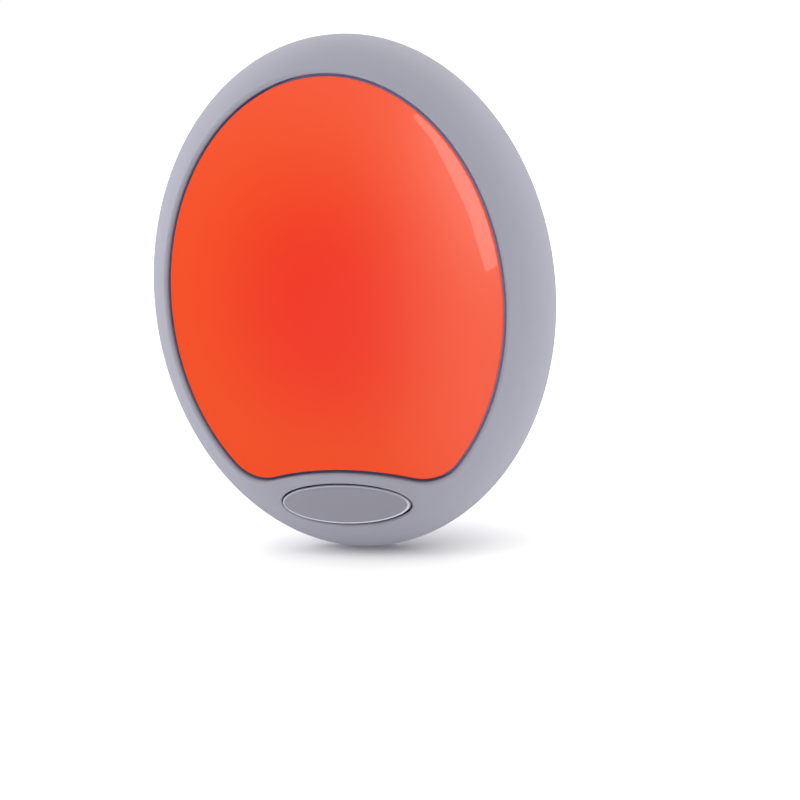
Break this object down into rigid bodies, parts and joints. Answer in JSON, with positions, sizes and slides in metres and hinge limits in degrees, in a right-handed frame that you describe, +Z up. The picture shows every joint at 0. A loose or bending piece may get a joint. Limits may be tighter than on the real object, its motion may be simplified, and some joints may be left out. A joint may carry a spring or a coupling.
{
  "type": "night light",
  "caption": "Oval plug-in night light with a satin grey bezel, a crowned orange-red lens and an oval push button below it, on a flat two-pin plug body.",
  "frame": {"origin": "midway between the two plug pins, on the end face of the plug body", "axes": "+Z up along the oval's long axis, +Y out along the pins into the wall, the lens faces -Y, +X to the right for someone who faces the lens"},
  "size_m": [0.07, 0.0708, 0.086],
  "materials": {
    "bezel_plastic": "satin moulded, pale lavender grey",
    "button_plastic": "satin moulded, pale lavender grey",
    "rear_plastic": "fine spark-eroded texture, pale lavender grey",
    "lens_plastic": "glossy translucent orange-red",
    "tray_plastic": "white",
    "board_laminate": "paper laminate, tan",
    "switch_plastic": "black",
    "plunger_plastic": "white",
    "tinned_metal": "tinned",
    "film_capacitor_case": "yellow case",
    "capacitor_can": "sleeved can",
    "rectifier_case": "black moulded case",
    "fuse_resistor_coat": "flame-proof lacquer",
    "resistor_coat": "tan lacquer",
    "screw_steel": "zinc plated",
    "led_case": "white case with phosphor cup",
    "pin_metal": "nickel plated",
    "sleeve_plastic": "insulating sleeve, grey",
    "live_lead_jacket": "brown jacket",
    "neutral_lead_jacket": "blue jacket"
  },
  "bodies": {
    "housing": {"front_bezel": "bezel_plastic", "lens": "lens_plastic", "light_tray": "tray_plastic", "rear_shell": "rear_plastic", "circuit_board": "board_laminate", "switch_body": "switch_plastic", "switch_terminals": "tinned_metal", "film_capacitor": "film_capacitor_case", "electrolytic_capacitor": "capacitor_can", "bridge_rectifier": "rectifier_case", "fuse_resistor": "fuse_resistor_coat", "bleed_resistor": "resistor_coat", "led_resistor": "resistor_coat", "housing_screws": "screw_steel", "board_screws": "screw_steel", "led_1": "led_case", "led_2": "led_case", "led_3": "led_case", "led_4": "led_case", "live_pin": "pin_metal", "live_pin_sleeve": "sleeve_plastic", "live_lead": "live_lead_jacket", "neutral_pin": "pin_metal", "neutral_pin_sleeve": "sleeve_plastic", "neutral_lead": "neutral_lead_jacket"},
    "button": {"push_button": "button_plastic", "switch_plunger": "plunger_plastic"}
  },
  "joints": [
    {"name": "button_press", "type": "slide", "parent": "housing", "child": "button", "axis": [0, 1, 0], "range_m": [0, 0.0015], "stiffness_N_per_m": 1200, "springref_m": -0.0005}
  ]
}
